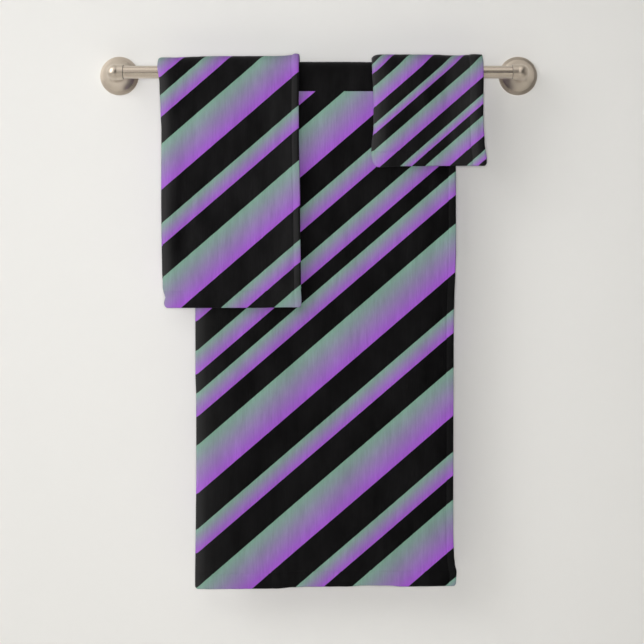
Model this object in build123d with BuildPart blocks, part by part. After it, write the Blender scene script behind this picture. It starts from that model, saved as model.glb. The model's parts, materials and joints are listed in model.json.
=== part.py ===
from build123d import *

import os

# Bath towel set hung on a 24 inch wall-mounted towel bar.
# A bath towel, a hand towel and a washcloth, each folded in half lengthwise, hang over one round rail.
# The origin is on the wall, midway between the two posts, at the height of the rail's axis.
# X runs along the rail, +Y into the wall, -Y into the room, Z up. Millimetres.

os.makedirs("parts", exist_ok=True)

# ---- towel bar: driving dimensions ----
POST_SPACING = 609.6  # 24 inches, post centre to post centre
RAIL_Y = -58.0
RAIL_RADIUS = 9.5
RAIL_WALL = 1.2
RUNNING_CLEARANCE = 0.05
RAIL_END_PLAY = 0.3

# post: bell neck with a domed nose and a collar that takes the rail
NECK_RADIUS = 12.0
NECK_START_Y = -36.0
BELL_RADIUS = 24.5
BELL_LIP = 1.2
COLLAR_RADIUS = 11.4
COLLAR_REACH = 12.6
SOCKET_RADIUS = 10.4
SOCKET_BEHIND = 2.0
BUSH_END = 1.5
BUSH_PROUD = 0.5

# escutcheon: stepped cup against the wall, its three steps given as radius and depth
ESCUTCHEON_STEPS = ((29.3, 4.4), (27.6, 6.6), (26.0, 8.5))
RIM_RADIUS = ESCUTCHEON_STEPS[0][0]
ESCUTCHEON_DEPTH = ESCUTCHEON_STEPS[-1][1]
CAVITY_RADIUS = 24.0
CAVITY_DEPTH = 6.5
RIM_ROUND = 0.7

# wall bracket and fasteners
BRACKET_RADIUS = 22.0
BRACKET_THICKNESS = 3.0
BRACKET_EYE_RADIUS = 8.0
WALL_SCREW_SPACING = 32.0
WALL_SCREW_HEAD_RADIUS = 3.8
WALL_SCREW_HEAD = 2.4
WALL_SCREW_NECK_RADIUS = 2.3  # plain neck, within the bracket
WALL_SCREW_RADIUS = 2.1
WALL_SCREW_REACH = 30.0  # beyond the wall plane, into the wall
SCREW_CLEARANCE = 0.2
CROSS_RECESS = 3.6
CROSS_WIDTH = 0.8
CROSS_DEPTH = 1.2
THREAD_GAP = 0.05
POST_SCREW_RADIUS = 2.5
POST_SCREW_HEAD_RADIUS = 4.5
POST_SCREW_HEAD = 2.6
POST_SCREW_REACH = 14.0
SET_SCREW_RADIUS = 1.9
SET_SCREW_Y = -2.3
SET_SCREW_SUNK = 0.5
SET_SCREW_KEY_RADIUS = 1.1
SET_SCREW_KEY_DEPTH = 2.0

# ---- towels: driving dimensions ----
# left, right: edges along X.  inner, outer: distances of the folded cloth's faces from the rail's axis.
# front, back: how far the cloth hangs below the axis.  swing: how far the front drop lifts, in degrees.
TOWELS = {
    "bath_towel": dict(
        left=-181.0,
        right=204.0,
        inner=9.9,
        outer=15.9,
        front=768.0,
        back=716.0,
        end_hem=22.0,
        side_hem=10.0,
        swing=0.0,
    ),
    "hand_towel": dict(
        left=-234.0,
        right=-25.0,
        inner=16.8,
        outer=24.0,
        front=351.0,
        back=334.0,
        end_hem=24.0,
        side_hem=10.0,
        swing=35.0,
    ),
    "washcloth": dict(
        left=82.0,
        right=249.0,
        inner=16.8,
        outer=25.0,
        front=140.0,
        back=125.0,
        end_hem=22.0,
        side_hem=20.0,
        swing=35.0,
    ),
}
SWING_GAP = 3.0  # spare degrees between a lifted front drop and its saddle
STITCH_PROUD = 0.4
STITCH_WIDTH = 0.8
STITCH_INSET = 2.0


def write_piece(piece, name):
    piece.part.label = name
    export_step(piece.part, f"parts/{name}.step")


def room_plane(x, y):
    """A plane parallel to the wall: local x along the rail, local y up, normal into the room."""
    return Plane(origin=(x, y, 0), x_dir=(1, 0, 0), z_dir=(0, -1, 0))


def rail_plane(x, direction):
    """A plane square to the rail at x, its normal along +X or -X."""
    return Plane(origin=(x, RAIL_Y, 0), z_dir=(direction, 0, 0))


# ---------------------------------------------------------------- towel bar


def make_wall_bracket(x):
    with BuildPart() as bracket:
        with BuildSketch(room_plane(x, 0)):
            Circle(BRACKET_RADIUS)
            Circle(BRACKET_EYE_RADIUS, mode=Mode.SUBTRACT)
            with GridLocations(0, WALL_SCREW_SPACING, 1, 2):
                Circle(WALL_SCREW_NECK_RADIUS + SCREW_CLEARANCE, mode=Mode.SUBTRACT)
        extrude(amount=BRACKET_THICKNESS)
    return bracket


def is_rim(edge, radius, depth):
    return abs(edge.radius - radius) < 0.01 and abs(edge.center().Y + depth) < 0.01


def make_escutcheon(x):
    hole = POST_SCREW_RADIUS + SCREW_CLEARANCE
    outline = [(hole, -CAVITY_DEPTH), (CAVITY_RADIUS, -CAVITY_DEPTH), (CAVITY_RADIUS, 0)]
    above = 0
    for radius, depth in ESCUTCHEON_STEPS:
        outline += [(radius, -above), (radius, -depth)]
        above = depth
    outline.append((hole, -ESCUTCHEON_DEPTH))
    with BuildPart() as escutcheon:
        with BuildSketch(Plane(origin=(x, 0, 0))):
            with BuildLine():
                Polyline(*outline, close=True)
            make_face()
        revolve(axis=Axis((x, 0, 0), (0, 1, 0)))
        for radius, depth in ESCUTCHEON_STEPS:
            rims = escutcheon.edges().filter_by(GeomType.CIRCLE)
            fillet(rims.filter_by(lambda edge: is_rim(edge, radius, depth)), RIM_ROUND)
        with BuildSketch(Plane(origin=(x, SET_SCREW_Y, 0), z_dir=(0, 0, -1))):
            Circle(SET_SCREW_RADIUS + THREAD_GAP)
        extrude(amount=RIM_RADIUS, mode=Mode.SUBTRACT)
    return escutcheon


def make_post(x, inward):
    with BuildPart() as post:
        with BuildSketch(Plane(origin=(x, 0, 0))):
            with BuildLine():
                Line((0, -ESCUTCHEON_DEPTH), (BELL_RADIUS, -ESCUTCHEON_DEPTH))
                Line((BELL_RADIUS, -ESCUTCHEON_DEPTH), (BELL_RADIUS, -ESCUTCHEON_DEPTH - BELL_LIP))
                TangentArc(
                    (NECK_RADIUS, NECK_START_Y),
                    (BELL_RADIUS, -ESCUTCHEON_DEPTH - BELL_LIP),
                    tangent=(0, 1),
                )
                Line((NECK_RADIUS, NECK_START_Y), (NECK_RADIUS, RAIL_Y))
                CenterArc((0, RAIL_Y), NECK_RADIUS, 0, -90)
                Line((0, RAIL_Y - NECK_RADIUS), (0, -ESCUTCHEON_DEPTH))
            make_face()
        revolve(axis=Axis((x, 0, 0), (0, 1, 0)))
        with BuildSketch(rail_plane(x, inward)):
            Circle(COLLAR_RADIUS)
        extrude(amount=COLLAR_REACH)
        with BuildSketch(rail_plane(x - inward * SOCKET_BEHIND, inward)):
            Circle(SOCKET_RADIUS)
        extrude(amount=SOCKET_BEHIND + COLLAR_REACH, mode=Mode.SUBTRACT)
        with BuildSketch(room_plane(x, -ESCUTCHEON_DEPTH)):
            Circle(POST_SCREW_RADIUS)
        extrude(amount=POST_SCREW_REACH, mode=Mode.SUBTRACT)
    return post


def make_rail_bush(x, inward):
    """Nylon cup that lines the collar and carries the end of the rail."""
    closed_end = x - inward * SOCKET_BEHIND
    length = SOCKET_BEHIND + COLLAR_REACH + BUSH_PROUD
    with BuildPart() as bush:
        with BuildSketch(rail_plane(closed_end, inward)):
            Circle(SOCKET_RADIUS)
        extrude(amount=length)
        with BuildSketch(rail_plane(closed_end + inward * BUSH_END, inward)):
            Circle(RAIL_RADIUS + RUNNING_CLEARANCE)
        extrude(amount=length, mode=Mode.SUBTRACT)
    return bush


def make_post_screw(x):
    with BuildPart() as screw:
        with BuildSketch(room_plane(x, -CAVITY_DEPTH + POST_SCREW_HEAD)):
            Circle(POST_SCREW_HEAD_RADIUS)
        extrude(amount=POST_SCREW_HEAD)
        with BuildSketch(room_plane(x, -CAVITY_DEPTH)):
            Circle(POST_SCREW_RADIUS - THREAD_GAP)
        extrude(amount=ESCUTCHEON_DEPTH - CAVITY_DEPTH + POST_SCREW_REACH - 1)
        with BuildSketch(room_plane(x, -CAVITY_DEPTH + POST_SCREW_HEAD)):
            Rectangle(CROSS_RECESS, CROSS_WIDTH)
            Rectangle(CROSS_WIDTH, CROSS_RECESS)
        extrude(amount=CROSS_DEPTH, mode=Mode.SUBTRACT)
    return screw


def make_set_screw(x):
    """Hex-socket grub screw, pointing up through the escutcheon's rim onto the bracket's edge."""
    length = RIM_RADIUS - SET_SCREW_SUNK - BRACKET_RADIUS
    with BuildPart() as screw:
        with BuildSketch(Plane(origin=(x, SET_SCREW_Y, -RIM_RADIUS + SET_SCREW_SUNK))):
            Circle(SET_SCREW_RADIUS)
        extrude(amount=length)
        with BuildSketch(Plane(origin=(x, SET_SCREW_Y, -RIM_RADIUS + SET_SCREW_SUNK))):
            RegularPolygon(SET_SCREW_KEY_RADIUS, 6)
        extrude(amount=SET_SCREW_KEY_DEPTH, mode=Mode.SUBTRACT)
    return screw


def make_wall_screws():
    head_y = -BRACKET_THICKNESS
    with BuildPart() as screws:
        with BuildSketch(room_plane(0, head_y)):
            with GridLocations(POST_SPACING, WALL_SCREW_SPACING, 2, 2):
                Circle(WALL_SCREW_HEAD_RADIUS)
        extrude(amount=WALL_SCREW_HEAD)
        with BuildSketch(room_plane(0, head_y)):
            with GridLocations(POST_SPACING, WALL_SCREW_SPACING, 2, 2):
                Circle(WALL_SCREW_NECK_RADIUS)
        extrude(amount=-BRACKET_THICKNESS)
        with BuildSketch(room_plane(0, 0)):
            with GridLocations(POST_SPACING, WALL_SCREW_SPACING, 2, 2):
                Circle(WALL_SCREW_RADIUS)
        extrude(amount=-WALL_SCREW_REACH)
        with BuildSketch(room_plane(0, head_y - WALL_SCREW_HEAD)):
            with GridLocations(POST_SPACING, WALL_SCREW_SPACING, 2, 2):
                Rectangle(CROSS_RECESS, CROSS_WIDTH)
                Rectangle(CROSS_WIDTH, CROSS_RECESS)
        extrude(amount=-CROSS_DEPTH, mode=Mode.SUBTRACT)
    return screws


def make_rail():
    end = POST_SPACING / 2 + SOCKET_BEHIND - BUSH_END - RAIL_END_PLAY
    with BuildPart() as rail:
        with BuildSketch(rail_plane(-end, 1)):
            Circle(RAIL_RADIUS)
            Circle(RAIL_RADIUS - RAIL_WALL, mode=Mode.SUBTRACT)
        extrude(amount=2 * end)
    return rail


# ---------------------------------------------------------------- towels


def slab(left, right, near, far, bottom, top):
    """A flat piece of folded cloth. near and far are Y, measured from the rail's axis."""
    with BuildPart() as piece:
        with BuildSketch(Plane(origin=((left + right) / 2, RAIL_Y + (near + far) / 2, bottom))):
            Rectangle(right - left, abs(far - near))
        extrude(amount=top - bottom)
    return piece


def make_saddle(towel):
    """The part of the cloth that bends over the rail, from the front drop round to the back one."""
    start = towel["swing"] + SWING_GAP if towel["swing"] else 0.0
    plane = Plane(origin=(towel["right"], RAIL_Y, 0), x_dir=(0, -1, 0), z_dir=(-1, 0, 0))
    with BuildPart() as saddle:
        with BuildSketch(plane):
            with BuildLine():
                inner = CenterArc((0, 0), towel["inner"], start, 180 - start)
                outer = CenterArc((0, 0), towel["outer"], start, 180 - start)
                Line(inner @ 0, outer @ 0)
                Line(inner @ 1, outer @ 1)
            make_face()
        extrude(amount=towel["right"] - towel["left"])
    return saddle


def make_drop(name, towel, side):
    """One hanging half of a towel: panel, end hem, side hem and hem stitching. side is front or back."""
    facing = -1 if side == "front" else 1
    near = facing * towel["inner"]
    far = facing * towel["outer"]
    bottom = -towel[side]
    hem_top = bottom + towel["end_hem"]
    seam_x = towel["right"] - towel["side_hem"]

    panel = slab(towel["left"], seam_x, near, far, hem_top, 0)
    write_piece(panel, f"{name}_{side}")
    end_hem = slab(towel["left"], towel["right"], near, far, bottom, hem_top)
    write_piece(end_hem, f"{name}_{side}_end_hem")
    side_hem = slab(seam_x, towel["right"], near, far, hem_top, 0)
    write_piece(side_hem, f"{name}_{side}_side_hem")

    stitch_y = RAIL_Y + far + facing * STITCH_PROUD / 2
    row_left = towel["left"] + STITCH_INSET
    row_right = towel["right"] - STITCH_INSET
    with BuildPart() as thread:
        with BuildSketch(Plane(origin=((row_left + row_right) / 2, stitch_y, hem_top - STITCH_WIDTH / 2))):
            Rectangle(row_right - row_left, STITCH_PROUD)
        extrude(amount=STITCH_WIDTH)
        with BuildSketch(Plane(origin=(seam_x, stitch_y, bottom + STITCH_INSET))):
            Rectangle(STITCH_WIDTH, STITCH_PROUD)
        extrude(amount=-bottom - STITCH_INSET)
    write_piece(thread, f"{name}_{side}_thread")


for side_name, inward in (("left", 1), ("right", -1)):
    post_x = -inward * POST_SPACING / 2
    write_piece(make_wall_bracket(post_x), f"{side_name}_wall_bracket")
    write_piece(make_escutcheon(post_x), f"{side_name}_escutcheon")
    write_piece(make_post(post_x, inward), f"{side_name}_post")
    write_piece(make_rail_bush(post_x, inward), f"{side_name}_rail_bush")
    write_piece(make_post_screw(post_x), f"{side_name}_post_screw")
    write_piece(make_set_screw(post_x), f"{side_name}_set_screw")

write_piece(make_wall_screws(), "wall_screws")
write_piece(make_rail(), "rail")

for towel_name, towel_sizes in TOWELS.items():
    write_piece(make_saddle(towel_sizes), f"{towel_name}_saddle")
    make_drop(towel_name, towel_sizes, "front")
    make_drop(towel_name, towel_sizes, "back")
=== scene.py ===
import json
import math

import bmesh
import bpy
import numpy as np
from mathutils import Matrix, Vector


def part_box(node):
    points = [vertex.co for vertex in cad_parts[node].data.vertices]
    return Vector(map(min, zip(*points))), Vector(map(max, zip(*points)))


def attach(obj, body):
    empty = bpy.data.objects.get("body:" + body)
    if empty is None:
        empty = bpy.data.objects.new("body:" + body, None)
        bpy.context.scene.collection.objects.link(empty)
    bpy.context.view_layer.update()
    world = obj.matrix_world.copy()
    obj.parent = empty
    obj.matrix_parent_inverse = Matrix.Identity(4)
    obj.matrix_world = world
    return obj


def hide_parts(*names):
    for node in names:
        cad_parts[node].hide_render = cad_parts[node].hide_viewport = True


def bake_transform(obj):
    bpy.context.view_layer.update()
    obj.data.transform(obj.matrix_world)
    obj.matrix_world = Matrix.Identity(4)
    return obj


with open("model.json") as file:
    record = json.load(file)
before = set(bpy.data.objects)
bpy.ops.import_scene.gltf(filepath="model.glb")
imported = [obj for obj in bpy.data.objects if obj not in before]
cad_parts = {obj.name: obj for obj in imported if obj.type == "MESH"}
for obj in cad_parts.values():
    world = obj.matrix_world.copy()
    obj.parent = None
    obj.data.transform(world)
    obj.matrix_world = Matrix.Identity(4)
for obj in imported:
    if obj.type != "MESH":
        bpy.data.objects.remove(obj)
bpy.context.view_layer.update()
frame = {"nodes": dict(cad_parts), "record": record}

# A bath towel, a hand towel and a washcloth hang over a wall-mounted rail. Metres throughout.
# X runs along the rail, the wall is the plane y = 0, the room is on the -Y side, Z is up.

MM = 0.001
RAIL_LOW, RAIL_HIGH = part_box("rail")
RAIL_Y = (RAIL_LOW.y + RAIL_HIGH.y) / 2
RAIL_Z = (RAIL_LOW.z + RAIL_HIGH.z) / 2


# ---------------------------------------------------------------- the print
# Diagonal stripes: black gaps and bright bands, in units of one narrow band, from the top down.
STRIPES = [
    (0.95, 2), (1.21, 1), (1.15, 1), (0.73, 1), (1.11, 2),
    (1.39, 1), (1.34, 2), (1.41, 1), (0.93, 2), (1.21, 1),
]
STRIPE_PERIOD = sum(gap + band for gap, band in STRIPES)
BAND_TRIM = 0.85 * MM  # the black runs this far into each side of a band
EDGE_SOFTNESS = 0.4 * MM


def srgb(red, green, blue):
    """Display colour, 0 to 255, as linear values."""
    values = [v / 255 for v in (red, green, blue)]
    return [v / 12.92 if v <= 0.04045 else ((v + 0.055) / 1.055) ** 2.4 for v in values]


# ---------------------------------------------------------------- node helpers
def new_material(name):
    material = bpy.data.materials.new(name)
    material.use_nodes = True
    tree = material.node_tree
    shader = tree.nodes["Principled BSDF"]
    return material, tree, shader


def node(tree, kind, **settings):
    made = tree.nodes.new(kind)
    for key, value in settings.items():
        setattr(made, key, value)
    return made


def feed(tree, target, value):
    """Links a socket, or sets a plain value."""
    if isinstance(value, bpy.types.NodeSocket):
        tree.links.new(value, target)
    else:
        target.default_value = value


def maths(tree, operation, *inputs):
    made = node(tree, "ShaderNodeMath", operation=operation)
    for socket, value in zip(made.inputs, inputs):
        feed(tree, socket, value)
    return made.outputs[0]


def mix_colour(tree, factor, a, b, blend_type="MIX"):
    made = node(tree, "ShaderNodeMix", data_type="RGBA", blend_type=blend_type)
    feed(tree, made.inputs["Factor"], factor)
    feed(tree, made.inputs[6], a)
    feed(tree, made.inputs[7], b)
    return made.outputs[2]


def stretched(tree, vector, scale):
    made = node(tree, "ShaderNodeMapping")
    feed(tree, made.inputs["Vector"], vector)
    made.inputs["Scale"].default_value = scale
    return made.outputs["Vector"]


def noise_value(tree, vector, scale, detail=3.0, roughness=0.55):
    made = node(tree, "ShaderNodeTexNoise")
    feed(tree, made.inputs["Vector"], vector)
    made.inputs["Scale"].default_value = scale
    made.inputs["Detail"].default_value = detail
    made.inputs["Roughness"].default_value = roughness
    return made.outputs["Fac"]


def spread(tree, value, low, high):
    """Maps 0..1 to low..high."""
    made = node(tree, "ShaderNodeMapRange")
    feed(tree, made.inputs["Value"], value)
    made.inputs["To Min"].default_value = low
    made.inputs["To Max"].default_value = high
    return made.outputs["Result"]


def edge_at(tree, value, place, softness):
    """0 below place, 1 above it, with a soft edge."""
    made = node(tree, "ShaderNodeMapRange")
    feed(tree, made.inputs["Value"], value)
    made.inputs["From Min"].default_value = place - softness
    made.inputs["From Max"].default_value = place + softness
    return made.outputs["Result"]


def ramp(tree, factor, stops):
    made = node(tree, "ShaderNodeValToRGB")
    elements = made.color_ramp.elements
    while len(elements) > 1:
        elements.remove(elements[-1])
    elements[0].position = stops[0][0]
    elements[0].color = (*stops[0][1], 1)
    for position, colour in stops[1:]:
        elements.new(position).color = (*colour, 1)
    feed(tree, made.inputs["Fac"], factor)
    return made.outputs["Color"]


# ---------------------------------------------------------------- materials
BAND_COLOURS = [
    (0.0, srgb(118, 156, 138)),
    (0.25, srgb(127, 140, 148)),
    (0.5, srgb(136, 121, 163)),
    (0.75, srgb(144, 103, 179)),
    (1.0, srgb(154, 82, 196)),
]


def stripe_print(tree, place, band):
    """Where the bright bands are, 0 or 1, and how far down its band each point is, 0 to 1. band is a narrow
    band's height on the cloth, and place counts in it."""
    mask, shade = 0.0, 0.0
    height = 0.0
    trim, softness = BAND_TRIM / band, EDGE_SOFTNESS / band
    for gap, width in STRIPES:
        top = height + gap + trim
        bottom = height + gap + width - trim
        height += gap + width
        entered = edge_at(tree, place, top, softness)
        left = edge_at(tree, place, bottom, softness)
        inside = maths(tree, "SUBTRACT", entered, left)
        share = maths(tree, "DIVIDE", maths(tree, "SUBTRACT", place, top), bottom - top)
        mask = maths(tree, "ADD", mask, inside)
        shade = maths(tree, "ADD", shade, maths(tree, "MULTIPLY", share, inside))
    return mask, shade


def cloth_material(name, band, start, slope, black, plain_above=None, weave_depth=0.8 * MM):
    """Printed cloth. band is a narrow band's height on the cloth, start the height where the print's count
    begins, slope the stripes' rise, plain_above the height over which the cloth stays black. The UV map
    holds metres on the cut cloth."""
    material, tree, shader = new_material(name)
    uv = node(tree, "ShaderNodeUVMap", uv_map="cloth").outputs["UV"]
    parts = node(tree, "ShaderNodeSeparateXYZ")
    feed(tree, parts.inputs[0], uv)
    across, up = parts.outputs["X"], parts.outputs["Y"]
    down = maths(tree, "SUBTRACT", maths(tree, "MULTIPLY", across, slope), up)
    bands = maths(tree, "DIVIDE", maths(tree, "SUBTRACT", down, start), band)
    mask, shade = stripe_print(tree, maths(tree, "FLOORED_MODULO", bands, STRIPE_PERIOD), band)
    if plain_above is not None:
        on_front = maths(tree, "LESS_THAN", up, plain_above[0])
        on_back = maths(tree, "GREATER_THAN", up, plain_above[1])
        mask = maths(tree, "MULTIPLY", mask, maths(tree, "MAXIMUM", on_front, on_back))
    band_colour = ramp(tree, shade, BAND_COLOURS)
    streaks = noise_value(tree, stretched(tree, uv, (420, 34, 1)), 1.0, 4.0, 0.6)
    mottle = noise_value(tree, stretched(tree, uv, (28, 14, 1)), 1.0, 3.0, 0.5)
    broad = noise_value(tree, stretched(tree, uv, (13, 5, 1)), 1.0, 2.0, 0.5)
    printed = mix_colour(tree, 1.0, band_colour, spread(tree, streaks, 0.78, 1.22), "MULTIPLY")
    ink = (black, black * 0.97, black * 1.03, 1)
    dark = mix_colour(tree, 1.0, ink, spread(tree, streaks, 0.3, 1.7), "MULTIPLY")
    dark = mix_colour(tree, 1.0, dark, spread(tree, edge_at(tree, mottle, 0.5, 0.2), 0.4, 1.9), "MULTIPLY")
    colour = mix_colour(tree, mask, dark, printed)
    # painted shade: broad, soft light and dark patches that stand in for the shading of the cloth's soft
    # folds
    painted_drape_shade = spread(tree, edge_at(tree, broad, 0.5, 0.25), 0.91, 1.08)
    painted_fold_shade = maths(tree, "MULTIPLY", spread(tree, mottle, 0.86, 1.12), painted_drape_shade)
    colour = mix_colour(tree, 1.0, colour, painted_fold_shade, "MULTIPLY")
    # painted light: the pale attribute lightens the colour for a painted sheen along the fold and a painted
    # highlight on the side hem, and darkens it for painted shade beside the seam
    pale = node(tree, "ShaderNodeAttribute", attribute_name="pale").outputs["Fac"]
    colour = mix_colour(tree, 1.0, colour, maths(tree, "MULTIPLY_ADD", pale, 2.0, 1.0), "MULTIPLY")
    colour = mix_colour(tree, 1.0, colour, pale, "ADD")
    feed(tree, shader.inputs["Base Color"], colour)
    feed(tree, shader.inputs["Roughness"], spread(tree, streaks, 0.82, 0.98))
    shader.inputs["Specular IOR Level"].default_value = 0.12
    shader.inputs["Sheen Weight"].default_value = 0.045
    shader.inputs["Sheen Roughness"].default_value = 0.55
    shader.inputs["Sheen Tint"].default_value = (0.8, 0.8, 0.85, 1)
    threads = []
    for direction, pitch in (("X", 1.5 * MM), ("Y", 1.7 * MM)):
        wave = node(tree, "ShaderNodeTexWave", wave_type="BANDS", wave_profile="SIN")
        wave.bands_direction = direction
        feed(tree, wave.inputs["Vector"], uv)
        wave.inputs["Scale"].default_value = 2 * math.pi / (20 * pitch)
        wave.inputs["Distortion"].default_value = 0.6
        wave.inputs["Detail"].default_value = 1.0
        wave.inputs["Detail Scale"].default_value = 60.0
        threads.append(wave.outputs["Fac"])
    weave = maths(tree, "MULTIPLY", *threads)
    relief = maths(tree, "ADD", maths(tree, "MULTIPLY", weave, 0.35), maths(tree, "MULTIPLY", streaks, 1.0))
    bump = node(tree, "ShaderNodeBump")
    bump.inputs["Strength"].default_value = 0.5
    bump.inputs["Distance"].default_value = weave_depth
    feed(tree, bump.inputs["Height"], relief)
    feed(tree, shader.inputs["Normal"], bump.outputs["Normal"])
    return material


def metal_material(name, colour, roughness, brush, brush_scale):
    """Brushed or satin metal. brush stretches the grain, in the object's own coordinates."""
    material, tree, shader = new_material(name)
    place = node(tree, "ShaderNodeTexCoord").outputs["Object"]
    grain = noise_value(tree, stretched(tree, place, brush), brush_scale, 5.0, 0.65)
    wear = noise_value(tree, place, 38.0, 4.0, 0.6)
    base = mix_colour(tree, spread(tree, grain, 0.2, 0.8), (*[c * 0.9 for c in colour], 1), (*colour, 1))
    base = mix_colour(tree, spread(tree, wear, 0.0, 0.14), base, (*[c * 0.72 for c in colour], 1))
    feed(tree, shader.inputs["Base Color"], base)
    shader.inputs["Metallic"].default_value = 1.0
    uneven = maths(tree, "ADD", grain, wear)
    feed(tree, shader.inputs["Roughness"], spread(tree, uneven, roughness - 0.05, roughness + 0.05))
    bump = node(tree, "ShaderNodeBump")
    bump.inputs["Strength"].default_value = 0.12
    bump.inputs["Distance"].default_value = 0.05 * MM
    feed(tree, bump.inputs["Height"], grain)
    feed(tree, shader.inputs["Normal"], bump.outputs["Normal"])
    return material


def plastic_material(name, colour, roughness):
    material, tree, shader = new_material(name)
    place = node(tree, "ShaderNodeTexCoord").outputs["Object"]
    grain = noise_value(tree, place, 900.0, 3.0)
    base = mix_colour(tree, grain, (*[c * 0.8 for c in colour], 1), (*colour, 1))
    feed(tree, shader.inputs["Base Color"], base)
    feed(tree, shader.inputs["Roughness"], spread(tree, grain, roughness - 0.08, roughness + 0.08))
    bump = node(tree, "ShaderNodeBump")
    bump.inputs["Strength"].default_value = 0.15
    bump.inputs["Distance"].default_value = 0.1 * MM
    feed(tree, bump.inputs["Height"], grain)
    feed(tree, shader.inputs["Normal"], bump.outputs["Normal"])
    return material


# ---------------------------------------------------------------- towels
class Towel:
    """Sizes of one folded towel, read from its CAD nodes, with the cut cloth's flat size."""

    def __init__(self, name, flat, seed):
        self.name = name
        self.flat = flat
        self.rng = np.random.default_rng(seed)
        saddle_low, saddle_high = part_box(f"{name}_saddle")
        front_low, front_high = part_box(f"{name}_front")
        back_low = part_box(f"{name}_back")[0]
        self.left, self.right = saddle_low.x, saddle_high.x
        self.inner = RAIL_Y - front_high.y
        self.outer = RAIL_Y - front_low.y
        self.front = RAIL_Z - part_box(f"{name}_front_end_hem")[0].z
        self.back = RAIL_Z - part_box(f"{name}_back_end_hem")[0].z
        self.end_hem = front_low.z - RAIL_Z + self.front
        self.side_hem = self.right - front_high.x
        self.back_hem = back_low.z - RAIL_Z + self.back


CLOTH = 2.2 * MM  # thickness of one layer
ARC_ROWS = 19  # grid rows over the rail, between the two drops


def fine_near(positions, places, steps):
    """Adds grid lines at small steps on both sides of each place, within the grid's span."""
    low, high = min(positions), max(positions)
    lines = list(positions)
    for place in places:
        lines += [place + sign * step for step in steps for sign in (-1, 1)]
    lines = sorted(line for line in lines if low <= line <= high)
    kept = [lines[0]]
    for line in lines[1:]:
        if line - kept[-1] > 0.35 * MM:
            kept.append(line)
    kept[-1] = high
    return np.array(kept)


def ripples(rng, x, z, wave_x, wave_z, count):
    """A smooth random relief of about -1..1: count long-crested ripples, with wavelengths near wave_x along
    the rail and wave_z down the cloth."""
    total = np.zeros(np.broadcast(x, z).shape)
    for _ in range(count):
        kx = 2 * math.pi / (wave_x * rng.uniform(0.6, 1.7)) * rng.choice((-1, 1))
        kz = 2 * math.pi / (wave_z * rng.uniform(0.6, 1.7))
        total += np.sin(kx * x + kz * z + rng.uniform(0, 2 * math.pi))
    return total / math.sqrt(count)


def smooth(value, start, end):
    t = np.clip((value - start) / (end - start), 0, 1)
    return t * t * (3 - 2 * t)


def profile(*points):
    """A smooth curve through points of (place, value in mm), flat beyond its ends."""
    places = np.array([point[0] for point in points])
    values = np.array([point[1] for point in points]) * MM

    def at(place):
        k = np.clip(np.searchsorted(places, place, side="right") - 1, 0, len(places) - 2)
        return values[k] + (values[k + 1] - values[k]) * smooth(place, places[k], places[k + 1])

    return at


def seam_relief(distance, width):
    """A puffed hem: a groove at the seam (distance 0), and a low crown up to the edge (distance width)."""
    groove = -0.5 * MM * np.exp(-((distance / (1.3 * MM)) ** 2))
    crown = 0.5 * MM * np.sin(math.pi * np.clip(distance / width, 0, 1))
    return groove + crown


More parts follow.
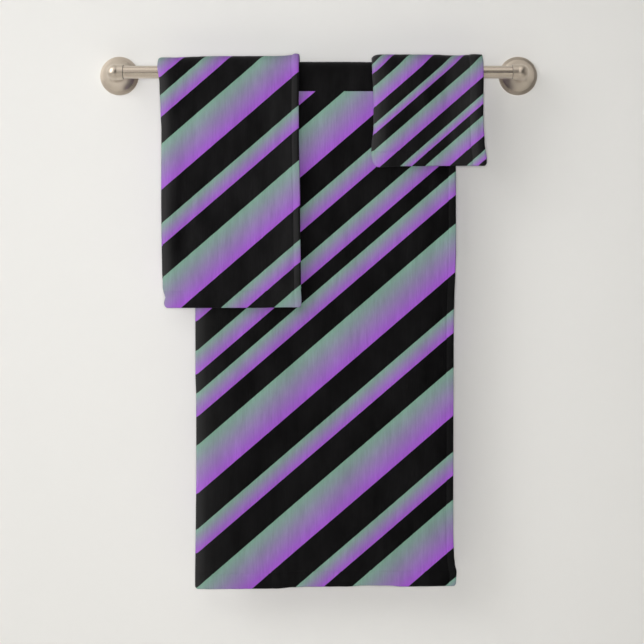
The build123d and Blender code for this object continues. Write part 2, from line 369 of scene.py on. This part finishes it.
def build_towel(towel, shape):
    """The middle of the folded, draped cloth as a grid of points, with its normals, each point's place on the
    cut cloth and its paleness, which is painted light (painted sheen, painted highlight and painted shade),
    and where the hems are in the grid. shape holds the towel's outline and drape."""
    t = towel
    layer_in = t.inner + CLOTH / 2 + 0.1 * MM
    layer_out = shape["layer_out"]
    fold_reach = 3.2 * MM
    seam_x = t.right - t.side_hem
    outer_x = fine_near(np.arange(t.left + fold_reach, t.right, 4 * MM).tolist() + [t.right],
                        [seam_x, t.left + fold_reach, t.right], [0, 0.8 * MM, 1.8 * MM, 3 * MM])
    inner_x = fine_near(np.arange(t.left + fold_reach, t.right, 9 * MM).tolist() + [t.right],
                        [seam_x, t.right], [0, 1.2 * MM, 2.6 * MM])
    fold_angles = np.linspace(0, math.pi, 11)[1:-1]
    # columns, from the outer layer's open edge, round the fold on the left, to the inner layer's open edge
    x = np.concatenate([outer_x[::-1], t.left + fold_reach * (1 - np.sin(fold_angles)), inner_x])
    layer = np.concatenate([np.zeros(len(outer_x)), (1 - np.cos(fold_angles)) / 2, np.ones(len(inner_x))])
    fold_length = math.pi * fold_reach * 0.75
    unfolded = np.concatenate([
        outer_x[::-1],
        t.left + fold_reach - fold_length * fold_angles / math.pi,
        t.left + fold_reach - fold_length - (inner_x - t.left - fold_reach),
    ])
    # rows, from the front bottom edge, over the rail, to the back bottom edge
    front_rows = fine_near(np.arange(-t.front, 0, 5 * MM).tolist() + [0.0], [-t.front + t.end_hem, -t.front],
                           [0, 0.8 * MM, 1.8 * MM, 3 * MM])
    back_rows = fine_near(np.arange(-t.back, 0, 8 * MM).tolist() + [0.0], [-t.back + t.back_hem, -t.back],
                          [0, 0.8 * MM, 1.8 * MM, 3 * MM])
    arc = np.linspace(0, math.pi, ARC_ROWS + 2)[1:-1]
    z_row = np.concatenate([front_rows, np.zeros(len(arc)), back_rows[::-1]])
    angle = np.concatenate([np.zeros(len(front_rows)), arc, np.full(len(back_rows), math.pi)])
    on_front = np.concatenate([np.ones(len(front_rows)), np.zeros(len(arc) + len(back_rows))])
    on_back = np.concatenate([np.zeros(len(front_rows) + len(arc)), np.ones(len(back_rows))])
    X, A = np.meshgrid(x, angle, indexing="ij")
    Z = np.broadcast_to(z_row, X.shape)
    L = layer[:, None]
    share = (X - t.left) / (t.right - t.left)

    # bottom edges: each column hangs its own length
    drop = on_front * (1 - smooth(Z, -t.front, -t.front * 0.35)) * shape["front_drop"](X, share)
    drop = drop + on_back * (1 - smooth(Z, -t.back, -t.back * 0.35)) * shape["back_drop"](X, share)
    low_on_front = on_front * (1 - smooth(Z, -t.front, -t.front + 0.1))
    low_on_back = on_back * (1 - smooth(Z, -t.back, -t.back + 0.1))
    inner_short = 1.6 * MM * L * (low_on_front + low_on_back)

    # distance of the cloth's middle from the rail's axis, by layer
    top = np.sin(A) * (1 - on_front) * (1 - on_back)
    out_radius = layer_out(share) + shape["top_relief"](X, share) * top
    radius = out_radius * (1 - L) + layer_in * L
    # the drops swing in or out of the flat, both layers together
    swing = on_front * shape["front_depth"](X, Z, share) + on_back * shape["back_depth"](X, Z, share)
    radius = radius + swing
    # the outer layer rounds off towards its fold and stands a little proud beyond it
    from_fold = X - t.left
    pillow = shape["pillow"] * smooth(from_fold, 0, 16 * MM)
    pillow = pillow * (1 - 0.6 * smooth(from_fold, 25 * MM, 120 * MM))
    radius = radius + (1 - L) * pillow * (0.35 + 0.65 * (on_front + on_back))
    # the cloth doesn't follow the rail closely: its bend is squarer than a circle
    square = shape["squareness"]
    bend = (np.abs(np.cos(A)) ** square + np.abs(np.sin(A)) ** square) ** (-1 / square)
    radius = radius * (1 - L) * bend + radius * L
    # crinkles
    fine = ripples(t.rng, X + 0.4 * L, Z - A * 0.02, 17 * MM, 190 * MM, 7) * shape["crinkle"]
    radius = radius + (1 - L) * fine * (0.25 + 0.75 * on_front)
    # hems
    seam = np.where(np.abs(X - seam_x) < t.side_hem + 4 * MM, seam_relief(X - seam_x, t.side_hem), 0)
    front_seam = seam_relief(-t.front + t.end_hem - Z, t.end_hem) * on_front
    back_seam = seam_relief(-t.back + t.back_hem - Z, t.back_hem) * on_back
    radius = radius + (1 - L) * (seam + front_seam + back_seam)

    # side edges: they wander, and the cloth between them follows
    over = 1 - on_front - on_back
    height = Z + radius * np.sin(A) * over
    shown = on_front + over * (1 - smooth(A, 1.3, 2.6))
    # the back drop and the inner layer stay behind the outer layer
    hidden = -3.5 * MM * share * (1 - shown) - 1.2 * MM * share * L
    shift = ((1 - share) * shape["left_edge"](height) + share * shape["right_edge"](height)) * shown + hidden
    px = X + shift
    py = RAIL_Y - radius * np.cos(A)
    pz = RAIL_Z + height - drop + inner_short
    middle = np.stack([px, py, pz], axis=-1)

    du = np.gradient(middle, axis=0)
    dv = np.gradient(middle, axis=1)
    normal = np.cross(du, dv)
    normal /= np.linalg.norm(normal, axis=-1, keepdims=True)
    # the outer layer of the front drop faces the room
    if normal[2, 5, 1] > 0:
        normal = -normal
    rise = np.where(arc < math.pi / 2, np.sin(arc), 2 - np.sin(arc))
    length = np.concatenate([front_rows, t.outer * rise, t.outer * 2 - back_rows[::-1]])
    across = unfolded[:, None] + shift * (1 - 2 * L)
    # painted light, kept as paleness: a painted sheen along the rounded fold, and a painted highlight on the
    # raised side hem with painted shade beside its seam
    pale = shape["fold_painted_light"](X - t.left) + shape["hem_painted_light"](t.right - X)
    coords = np.stack([across, length[None, :] - drop * (on_front - on_back), pale], axis=-1)
    grid = dict(x=x, z=z_row, front_rows=len(front_rows), outer_columns=len(outer_x))
    return middle, normal, coords, grid


def smooth_mesh(name, vertices, faces, coords):
    """A smooth-shaded closed mesh, its faces turned outwards. coords gives each vertex its place on the cut
    cloth and its painted light there, as paleness: painted sheen, painted highlight and painted shade."""
    mesh = bpy.data.meshes.new(name)
    mesh.from_pydata(vertices, [], faces)
    outwards = bmesh.new()
    outwards.from_mesh(mesh)
    bmesh.ops.recalc_face_normals(outwards, faces=outwards.faces)
    outwards.to_mesh(mesh)
    outwards.free()
    layer = mesh.uv_layers.new(name="cloth")
    corner_vertex = np.zeros(len(mesh.loops), dtype=np.int32)
    mesh.loops.foreach_get("vertex_index", corner_vertex)
    coords = np.array(coords, dtype=np.float32)
    layer.data.foreach_set("uv", coords[corner_vertex, :2].ravel())
    # the pale attribute holds the painted sheen, highlight and shade
    mesh.attributes.new("pale", "FLOAT", "POINT").data.foreach_set("value", coords[:, 2])
    mesh.polygons.foreach_set("use_smooth", [True] * len(mesh.polygons))
    mesh.update()
    return mesh


def thicken(name, middle, normal, place, thickness):
    """A closed sheet about a grid of points, with a rounded rim all round."""
    columns, rows = middle.shape[:2]
    faces = []
    vertices = []
    coords = []

    def sheet_face(points, flip):
        base = len(vertices)
        vertices.extend(points.reshape(-1, 3).tolist())
        coords.extend(place.reshape(-1, 3).tolist())
        index = np.arange(columns * rows).reshape(columns, rows) + base
        corners = [index[:-1, :-1], index[1:, :-1], index[1:, 1:], index[:-1, 1:]]
        quads = np.stack(corners, axis=-1).reshape(-1, 4)
        faces.extend((quads[:, ::-1] if flip else quads).tolist())
        return index

    outside = sheet_face(middle + normal * thickness / 2, True)
    inside = sheet_face(middle - normal * thickness / 2, False)

    def rim_loop(index):
        return np.concatenate([index[:-1, 0], index[-1, :-1], index[:0:-1, -1], index[0, :0:-1]])

    loop_out, loop_in = rim_loop(outside), rim_loop(inside)
    inward = np.zeros_like(middle)
    inward[0] += middle[1] - middle[0]
    inward[-1] += middle[-2] - middle[-1]
    inward[:, 0] += middle[:, 1] - middle[:, 0]
    inward[:, -1] += middle[:, -2] - middle[:, -1]
    flat_middle = middle.reshape(-1, 3)
    flat_inward = inward.reshape(-1, 3)
    flat_place = place.reshape(-1, 3)
    loop = rim_loop(np.arange(columns * rows).reshape(columns, rows))
    outward = -flat_inward[loop]
    outward /= np.linalg.norm(outward, axis=-1, keepdims=True)
    base = len(vertices)
    vertices.extend((flat_middle[loop] + outward * thickness * 0.42).tolist())
    coords.extend(flat_place[loop].tolist())
    ring = np.arange(len(loop)) + base
    for first, second in ((loop_out, ring), (ring, loop_in)):
        after_first, after_second = np.roll(first, -1), np.roll(second, -1)
        faces.extend(np.stack([first, after_first, after_second, second], axis=-1)[:, ::-1].tolist())

    return smooth_mesh(name, vertices, faces, coords)


def add_object(name, mesh, material):
    made = bpy.data.objects.new(name, mesh)
    bpy.context.scene.collection.objects.link(made)
    mesh.materials.append(material)
    return made


STITCH = 3.0 * MM
STITCH_GAP = 0.9 * MM
STITCH_RADIUS = 0.3 * MM


def stitch_row(points, normals, coords, vertices, faces, vertex_coords):
    """Adds lockstitches along a line on the cloth, each a short dash with rounded, sunken ends."""
    steps = np.linalg.norm(np.diff(points, axis=0), axis=1)
    along = np.concatenate([[0], np.cumsum(steps)])
    count = int((along[-1] - STITCH) / (STITCH + STITCH_GAP))
    sides = 6
    # share of the stitch's length, thickness and height there, the last two in stitch radii
    rings = [(0.0, 0.25, -0.9), (0.18, 0.85, -0.3), (0.5, 1.0, 0.0), (0.82, 0.85, -0.3), (1.0, 0.25, -0.9)]

    def at_length(values, at):
        return np.array([np.interp(at, along, values[:, i]) for i in range(values.shape[1])])

    for k in range(count):
        begin = STITCH_GAP + k * (STITCH + STITCH_GAP)
        base = len(vertices)
        for share, size, lift in rings:
            at = begin + share * STITCH
            centre, up = at_length(points, at), at_length(normals, at)
            direction = at_length(points, at + 0.5 * MM) - centre
            vertex_coords.extend([at_length(coords, at).tolist()] * sides)
            direction /= np.linalg.norm(direction) + 1e-12
            side = np.cross(direction, up)
            side /= np.linalg.norm(side)
            centre = centre + up * (lift * STITCH_RADIUS)
            for j in range(sides):
                turn = 2 * math.pi * j / sides
                spoke = math.cos(turn) * side + math.sin(turn) * up
                vertices.append((centre + STITCH_RADIUS * size * spoke).tolist())
        for ring in range(len(rings) - 1):
            for j in range(sides):
                a = base + ring * sides + j
                b = base + ring * sides + (j + 1) % sides
                faces.append((a, b, b + sides, a + sides))
        faces.append(tuple(base + j for j in reversed(range(sides))))
        last = base + (len(rings) - 1) * sides
        faces.append(tuple(last + j for j in range(sides)))


def add_stitches(towel, middle, normal, place, grid, material, side):
    """The hem stitching of one drop: a row along the end hem and one down the side hem."""
    outer_columns = grid["outer_columns"]
    surface = middle + normal * CLOTH / 2
    front_rows = grid["front_rows"]
    if side == "front":
        rows = np.arange(front_rows)
        hem_z = -towel.front + towel.end_hem
    else:
        rows = np.arange(front_rows + ARC_ROWS, middle.shape[1])
        hem_z = -towel.back + towel.back_hem
    hem_row = rows[np.argmin(np.abs(grid["z"][rows] - hem_z))]
    seam_column = int(np.argmin(np.abs(grid["x"][:outer_columns] - (towel.right - towel.side_hem))))
    vertices, faces, coords = [], [], []
    for line in (np.s_[:outer_columns, hem_row], np.s_[seam_column, rows]):
        stitch_row(surface[line], normal[line], place[line], vertices, faces, coords)
    mesh = smooth_mesh(f"{towel.name}_{side}_stitches", vertices, faces, coords)
    stitches = add_object(f"{towel.name}_{side}_stitches", mesh, material)
    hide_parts(f"{towel.name}_{side}_thread")
    return stitches


CLOTH_NODES = ["saddle", "front", "back", "front_end_hem", "back_end_hem", "front_side_hem", "back_side_hem"]


def hang_towel(towel, shape, material, lifts):
    middle, normal, place, grid = build_towel(towel, shape)
    sheet = thicken(f"{towel.name}_cloth", middle, normal, place, CLOTH)
    cloth = add_object(f"{towel.name}_cloth", sheet, material)
    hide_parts(*[f"{towel.name}_{part}" for part in CLOTH_NODES])
    stitches = {}
    for side in ("front", "back"):
        stitches[side] = add_stitches(towel, middle, normal, place, grid, material, side)
    if lifts:
        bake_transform(cloth)
        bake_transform(stitches["front"])
    else:
        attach(cloth, towel.name)
        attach(stitches["front"], towel.name)
    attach(stitches["back"], towel.name)
    return cloth


def corner_lift(x, left, right, left_radius, right_radius):
    """How much a rounded corner shortens the hem near each edge."""
    from_left = np.clip(1 - (x - left) / left_radius, 0, 1)
    from_right = np.clip(1 - (right - x) / right_radius, 0, 1)
    return -left_radius * (1 - np.sqrt(1 - from_left**2)) - right_radius * (1 - np.sqrt(1 - from_right**2))


def bump_at(value, place, width):
    return np.exp(-(((value - place) / width) ** 2))


bath = Towel("bath_towel", (0.762, 1.524), 11)
hand = Towel("hand_towel", (0.418, 0.749), 23)
wash = Towel("washcloth", (0.334, 0.334), 37)


def hem_length(towel, left_radius, right_radius, *points):
    """How much lower than its nominal line the bottom edge hangs, across the towel, with rounded corners."""
    low_line = profile(*points)

    def at(x, share):
        return low_line(share) + corner_lift(x, towel.left, towel.right, left_radius * MM, right_radius * MM)

    return at


def waves(seed, wave_x, wave_z, count=4):
    """A repeatable random relief of about -1..1 over the cloth."""
    return lambda x, z: ripples(np.random.default_rng(seed), x, z, wave_x, wave_z, count)


bath_top, bath_low, bath_broad = waves(5, 0.12, 1.0, 3), waves(8, 0.22, 1.3), waves(9, 0.16, 1.1)
bath_hem, bath_back_low = waves(7, 0.13, 1.0, 3), waves(10, 0.2, 1.2)
BATH_SHAPE = dict(
    layer_out=lambda s: bath.outer - CLOTH / 2 + 0 * s,
    top_relief=lambda x, s: bath_top(x, 0 * x) * 0.25 * MM - 0.75 * MM,
    front_drop=hem_length(
        bath, 3, 4,
        (0.0, 4.2), (0.06, 4.6), (0.12, 4.4), (0.31, 4.4), (0.38, 2.2), (0.43, 1.3),
        (0.58, 0.9), (0.65, -0.8), (0.74, -0.6), (0.8, 0.9), (0.88, 0.5), (1.0, -0.3),
    ),
    back_drop=lambda x, s: (
        corner_lift(x, bath.left, bath.right, 7 * MM, 4 * MM) + bath_hem(x, 0 * x) * 1.2 * MM
    ),
    front_depth=lambda x, z, s: (
        -smooth(-z, 0.02, 0.45) * 3.5 * MM
        + smooth(-z, 0.36, 0.74) * bath_low(x, z) * 2.4 * MM
        - smooth(-z, 0.05, 0.3) * (0.5 + 0.5 * bath_broad(x, z)) * 1.0 * MM
    ),
    back_depth=lambda x, z, s: (
        -smooth(-z, 0.02, 0.3) * 3.0 * MM + smooth(-z, 0.1, 0.7) * bath_back_low(x, z) * 2.0 * MM
    ),
    pillow=0.0,
    squareness=2.2,
    crinkle=0.32 * MM,
    # painted light in levels: painted sheen near the fold, painted highlight on the side hem, painted shade
    # beside its seam
    fold_painted_light=profile((0.0, 27), (0.004, 22), (0.01, 13.5), (0.016, 7), (0.028, 3.2), (0.06, 0)),
    hem_painted_light=profile(
        (0.0, -2), (0.003, 1), (bath.side_hem - MM, 1), (bath.side_hem, -2.5), (0.03, -1.2), (0.06, 0),
    ),
    left_edge=profile(
        (-0.75, -1.3), (-0.71, -0.8), (-0.67, -0.3), (-0.6, 0.3), (-0.49, 0.2), (-0.45, -0.9), (-0.3, -1.0),
    ),
    right_edge=profile(
        (-0.765, 2.2), (-0.752, 3.2), (-0.742, 0.9), (-0.73, -0.6), (-0.7, -1.8), (-0.68, -1.9),
        (-0.37, -1.6), (-0.34, -0.8), (-0.3, 0.7), (-0.27, 1.6), (-0.15, 1.4),
    ),
)
hand_front, hand_back, hand_hem = waves(18, 0.13, 0.9), waves(19, 0.13, 0.9), waves(16, 0.07, 1.0, 3)
HAND_SHAPE = dict(
    layer_out=lambda s: 20.6 * MM + 2.6 * MM * smooth(s, 0.0, 0.45) + 0.6 * MM * s,
    top_relief=lambda x, s: (
        bump_at(s, 0.98, 0.03) * 2.0 - 1.3 * smooth(s, 0.0, 0.12) * (1 - smooth(s, 0.85, 0.95))
    ) * MM,
    front_drop=hem_length(hand, 4.5, 3, (0.0, 1.4), (0.6, 1.2), (1.0, 0.3)),
    back_drop=lambda x, s: (
        corner_lift(x, hand.left, hand.right, 9 * MM, 3 * MM) + hand_hem(x, 0 * x) * 0.5 * MM
    ),
    front_depth=lambda x, z, s: (
        smooth(-z, 0.0, 0.3) * (1.2 + hand_front(x, z)) + smooth(-z, 0.0, 0.06) * smooth(s, 0.7, 1.0) * 4
    ) * MM,
    back_depth=lambda x, z, s: smooth(-z, 0.02, 0.3) * (1.0 + 0.8 * hand_back(x, z)) * MM,
    pillow=1.8 * MM,
    squareness=2.8,
    crinkle=0.42 * MM,
    # painted light in levels: painted sheen near the fold, painted highlight on the side hem, painted shade
    # beside its seam
    fold_painted_light=profile((0.0, 32), (0.005, 24), (0.011, 11), (0.017, 1), (0.026, -2), (0.04, 0)),
    hem_painted_light=profile(
        (0.0, -1), (0.004, 14), (hand.side_hem - MM, 16), (hand.side_hem, 4), (0.03, 3.5), (0.06, 0),
    ),
    left_edge=profile(
        (-0.35, 6.5), (-0.341, 8.4), (-0.33, 5.2), (-0.3, 3.4), (-0.23, 2.3), (-0.19, 1.9),
        (-0.09, 2.2), (-0.06, 1.0), (-0.02, -0.6), (0.008, -3.9), (0.016, -3.6), (0.023, -2.6),
    ),
    right_edge=profile(
        (-0.351, 0.5), (-0.345, 0.9), (-0.33, 0.0), (-0.2, -1.5), (-0.1, -3.6), (0.01, -3.8), (0.024, -3.4),
    ),
)
wash_front, wash_back = waves(28, 0.1, 0.5), waves(29, 0.1, 0.5)
WASH_SHAPE = dict(
    layer_out=lambda s: 24.6 * MM + 0 * s,
    top_relief=lambda x, s: (
        -2.6 * bump_at(s, 0.0, 0.03) - 1.3 * bump_at(s, 0.75, 0.12) + 0.5 * bump_at(s, 0.93, 0.04)
    ) * MM,
    front_drop=hem_length(wash, 8, 4, (0.0, 2.6), (0.06, 3.4), (0.25, 1.8), (0.8, 1.2), (1.0, 1.2)),
    back_drop=lambda x, s: corner_lift(x, wash.left, wash.right, 8 * MM, 4 * MM),
    front_depth=lambda x, z, s: smooth(-z, 0.0, 0.14) * (1.8 + 1.2 * wash_front(x, z)) * MM,
    back_depth=lambda x, z, s: smooth(-z, 0.0, 0.14) * (1.2 + 0.8 * wash_back(x, z)) * MM,
    pillow=1.0 * MM,
    squareness=2.8,
    crinkle=0.36 * MM,
    # painted light in levels: painted sheen near the fold, painted highlight on the side hem, painted shade
    # beside its seam
    fold_painted_light=profile((0.0, 30), (0.004, 23), (0.012, 11), (0.021, 2), (0.03, 0)),
    hem_painted_light=profile(
        (0.0, -1), (0.006, 6), (0.014, 17), (wash.side_hem - MM, 19),
        (wash.side_hem, 10), (0.042, 7), (0.06, 0),
    ),
    left_edge=profile(
        (-0.14, 0.4), (-0.128, -1.4), (-0.115, -0.6), (-0.09, 2.1), (-0.04, 2.0), (0.0, 0.3), (0.02, -0.6),
    ),
    right_edge=profile(
        (-0.136, 2.0), (-0.109, -1.1), (-0.08, -3.0), (-0.065, -3.5),
        (-0.03, -3.2), (-0.01, -2.8), (0.01, -3.2), (0.022, -4.0),
    ),
)

PLAIN_TOP = 30.2 * MM  # the bath towel's black top runs this far below the rail's axis, front and back
bath_cloth = cloth_material(
    "bath_towel_print",
    band=36.97 * MM,
    start=28.1 * MM,
    slope=0.8602,
    black=0.0027,
    plain_above=(-PLAIN_TOP, bath.outer * 2 + PLAIN_TOP),
)
hand_cloth = cloth_material("hand_towel_print", band=35.0 * MM, start=-446.8 * MM, slope=0.8603, black=0.0042)
wash_cloth = cloth_material("washcloth_print", band=16.61 * MM, start=-71.9 * MM, slope=0.8715, black=0.0042)
bath_sheet = hang_towel(bath, BATH_SHAPE, bath_cloth, lifts=False)
hang_towel(hand, HAND_SHAPE, hand_cloth, lifts=True)
hang_towel(wash, WASH_SHAPE, wash_cloth, lifts=True)


# ---------------------------------------------------------------- towel bar
NICKEL = (0.63, 0.55, 0.46)
rail_metal = metal_material("brushed_nickel_rail", NICKEL, 0.2, (0.02, 1, 1), 2600.0)
post_metal = metal_material("satin_nickel_posts", NICKEL, 0.28, (1, 0.05, 1), 1500.0)
zinc = metal_material("zinc_plate", (0.6, 0.6, 0.6), 0.38, (1, 1, 1), 700.0)
nylon = plastic_material("dark_nylon", (0.05, 0.045, 0.04), 0.5)
SLOT_MATERIALS = {
    "rail_nickel": rail_metal,
    "post_nickel": post_metal,
    "bush_nylon": nylon,
    "bracket_steel": zinc,
    "screw_steel": zinc,
}
for part in frame["record"]["subparts"]:
    material = SLOT_MATERIALS.get(part["material_slot"])
    if material is not None:
        for slot in frame["nodes"][part["node"]].material_slots:
            slot.material = material


# ---------------------------------------------------------------- room, light and camera
FLOOR_Z = -1.25
ROOM = 6.0  # the floor and wall reach this far from the object
WALL_Y = 0.5 * MM  # just behind the wall flanges' rims
FLOOR_COLOUR = srgb(226, 224, 220)
WALL_COLOUR = srgb(232, 231, 228)


def add_plane(name, corners, material):
    mesh = bpy.data.meshes.new(name)
    mesh.from_pydata(corners, [], [tuple(range(len(corners)))])
    made = add_object(name, mesh, material)
    return made


def room_material(name, colour, clear_behind):
    """Painted plaster. With clear_behind, its back is see-through, so that the object shows from behind."""
    material, tree, shader = new_material(name)
    place = node(tree, "ShaderNodeTexCoord").outputs["Object"]
    cloudy = noise_value(tree, place, 1.5, 2.0)
    base = mix_colour(tree, cloudy, (*[c * 0.985 for c in colour], 1), (*colour, 1))
    feed(tree, shader.inputs["Base Color"], base)
    shader.inputs["Roughness"].default_value = 0.9
    shader.inputs["Specular IOR Level"].default_value = 0.1
    if clear_behind:
        clear = node(tree, "ShaderNodeBsdfTransparent")
        choice = node(tree, "ShaderNodeMixShader")
        feed(tree, choice.inputs[0], node(tree, "ShaderNodeNewGeometry").outputs["Backfacing"])
        feed(tree, choice.inputs[1], shader.outputs[0])
        feed(tree, choice.inputs[2], clear.outputs[0])
        feed(tree, tree.nodes["Material Output"].inputs["Surface"], choice.outputs[0])
    return material


add_plane(
    "floor",
    [(-ROOM, -ROOM, FLOOR_Z), (ROOM, -ROOM, FLOOR_Z), (ROOM, ROOM, FLOOR_Z), (-ROOM, ROOM, FLOOR_Z)],
    room_material("pale_floor", FLOOR_COLOUR, False),
)
wall = add_plane(
    "wall",
    [(-ROOM, WALL_Y, FLOOR_Z), (ROOM, WALL_Y, FLOOR_Z), (ROOM, WALL_Y, ROOM), (-ROOM, WALL_Y, ROOM)],
    room_material("pale_wall", WALL_COLOUR, True),
)
wall.visible_shadow = False  # the lamp behind it lights the towels' backs


def add_area_light(name, place, aim, size, power, colour, mirrored):
    """A soft lamp. mirrored says whether metal shows its reflection."""
    data = bpy.data.lights.new(name, "AREA")
    data.shape = "RECTANGLE"
    data.size, data.size_y = size
    data.energy = power
    data.color = colour
    lamp = bpy.data.objects.new(name, data)
    bpy.context.scene.collection.objects.link(lamp)
    lamp.location = place
    lamp.visible_camera = False
    lamp.visible_glossy = mirrored
    lamp.rotation_mode = "QUATERNION"
    lamp.rotation_quaternion = (Vector(aim) - Vector(place)).to_track_quat("-Z", "Y")


# name, place, aim, size, power, colour, whether metal shows its reflection
LAMPS = [
    ("front_fill", (0.054, -2.95, -0.298), (0.054, 0, -0.298), (0.25, 0.25), 38, (1.0, 0.998, 0.99), False),
    ("near_left", (-0.3, -1.1, 0.0), (-0.2, 0, -0.15), (0.5, 0.5), 1.8, (1.0, 1.0, 1.0), False),
    ("window_left", (-2.6, -2.0, 0.5), (0, 0, -0.3), (1.6, 2.2), 24, (1.0, 1.0, 1.0), True),
    ("window_top", (-2.2, -2.0, 1.6), (0, 0, -0.2), (1.6, 1.6), 18, (1.0, 1.0, 1.0), True),
    ("ceiling", (-0.3, -1.7, 2.3), (0, 0, -0.3), (3.0, 1.6), 6, (1.0, 0.985, 0.965), True),
    ("behind", (-1.6, 2.4, 1.0), (0, 0, -0.3), (1.6, 1.6), 45, (1.0, 0.99, 0.975), True),
]
for lamp_settings in LAMPS:
    add_area_light(*lamp_settings)


AMBIENT = 0.05
BACKDROP = 0.7


def shape_world():
    """A plain pale room: dim for the cloth and wall, and in the metal's reflections bright at the left and
    duller at the right, with one dark part there, like an open door."""
    world = bpy.data.worlds.new("soft_room")
    bpy.context.scene.world = world
    world.use_nodes = True
    world.cycles.sampling_method = "NONE"
    tree = world.node_tree
    direction = node(tree, "ShaderNodeSeparateXYZ")
    feed(tree, direction.inputs[0], node(tree, "ShaderNodeTexCoord").outputs["Generated"])
    to_right, up = direction.outputs["X"], direction.outputs["Z"]
    top = maths(tree, "MULTIPLY_ADD", to_right, 0.9, 0.3)
    below_top = maths(tree, "SUBTRACT", top, up)
    dark = maths(
        tree,
        "MULTIPLY",
        maths(tree, "MULTIPLY", edge_at(tree, to_right, 0.03, 0.06), edge_at(tree, below_top, 0.0, 0.1)),
        edge_at(tree, up, -0.52, 0.08),
    )
    dark = maths(tree, "MULTIPLY", dark, maths(tree, "SUBTRACT", 1.0, edge_at(tree, to_right, 0.66, 0.14)))
    leftward = spread(tree, edge_at(tree, to_right, -0.45, 0.25), 1.25, 0.8)
    rightward = spread(tree, edge_at(tree, to_right, 0.05, 0.1), 1.0, 0.7)
    side = maths(tree, "MULTIPLY", leftward, rightward)
    reflected = maths(tree, "MULTIPLY", side, spread(tree, dark, 1.0, 0.03))
    path = node(tree, "ShaderNodeLightPath")
    seen = spread(tree, path.outputs["Is Camera Ray"], AMBIENT, BACKDROP)
    strength = node(tree, "ShaderNodeMix", data_type="FLOAT")
    feed(tree, strength.inputs["Factor"], path.outputs["Is Glossy Ray"])
    feed(tree, strength.inputs[2], seen)
    feed(tree, strength.inputs[3], reflected)
    background = tree.nodes["Background"]
    background.inputs["Color"].default_value = (0.95, 0.925, 0.9, 1)
    feed(tree, background.inputs["Strength"], strength.outputs[0])


shape_world()

scene = bpy.context.scene
scene.view_settings.view_transform = "Standard"
scene.view_settings.look = "None"
CAMERA_PLACE = (0.0544, -2.838, -0.2975)
CAMERA_LENS = 103.6
CAMERA_SENSOR = 36.0
CAMERA_SHIFT = (-0.05, -0.08)
camera_data = bpy.data.cameras.new("camera")
camera = bpy.data.objects.new("camera", camera_data)
scene.collection.objects.link(camera)
camera.location = CAMERA_PLACE
camera.rotation_euler = (math.pi / 2, 0, 0)
camera_data.lens = CAMERA_LENS
camera_data.sensor_width = CAMERA_SENSOR
camera_data.shift_x, camera_data.shift_y = CAMERA_SHIFT
scene.camera = camera
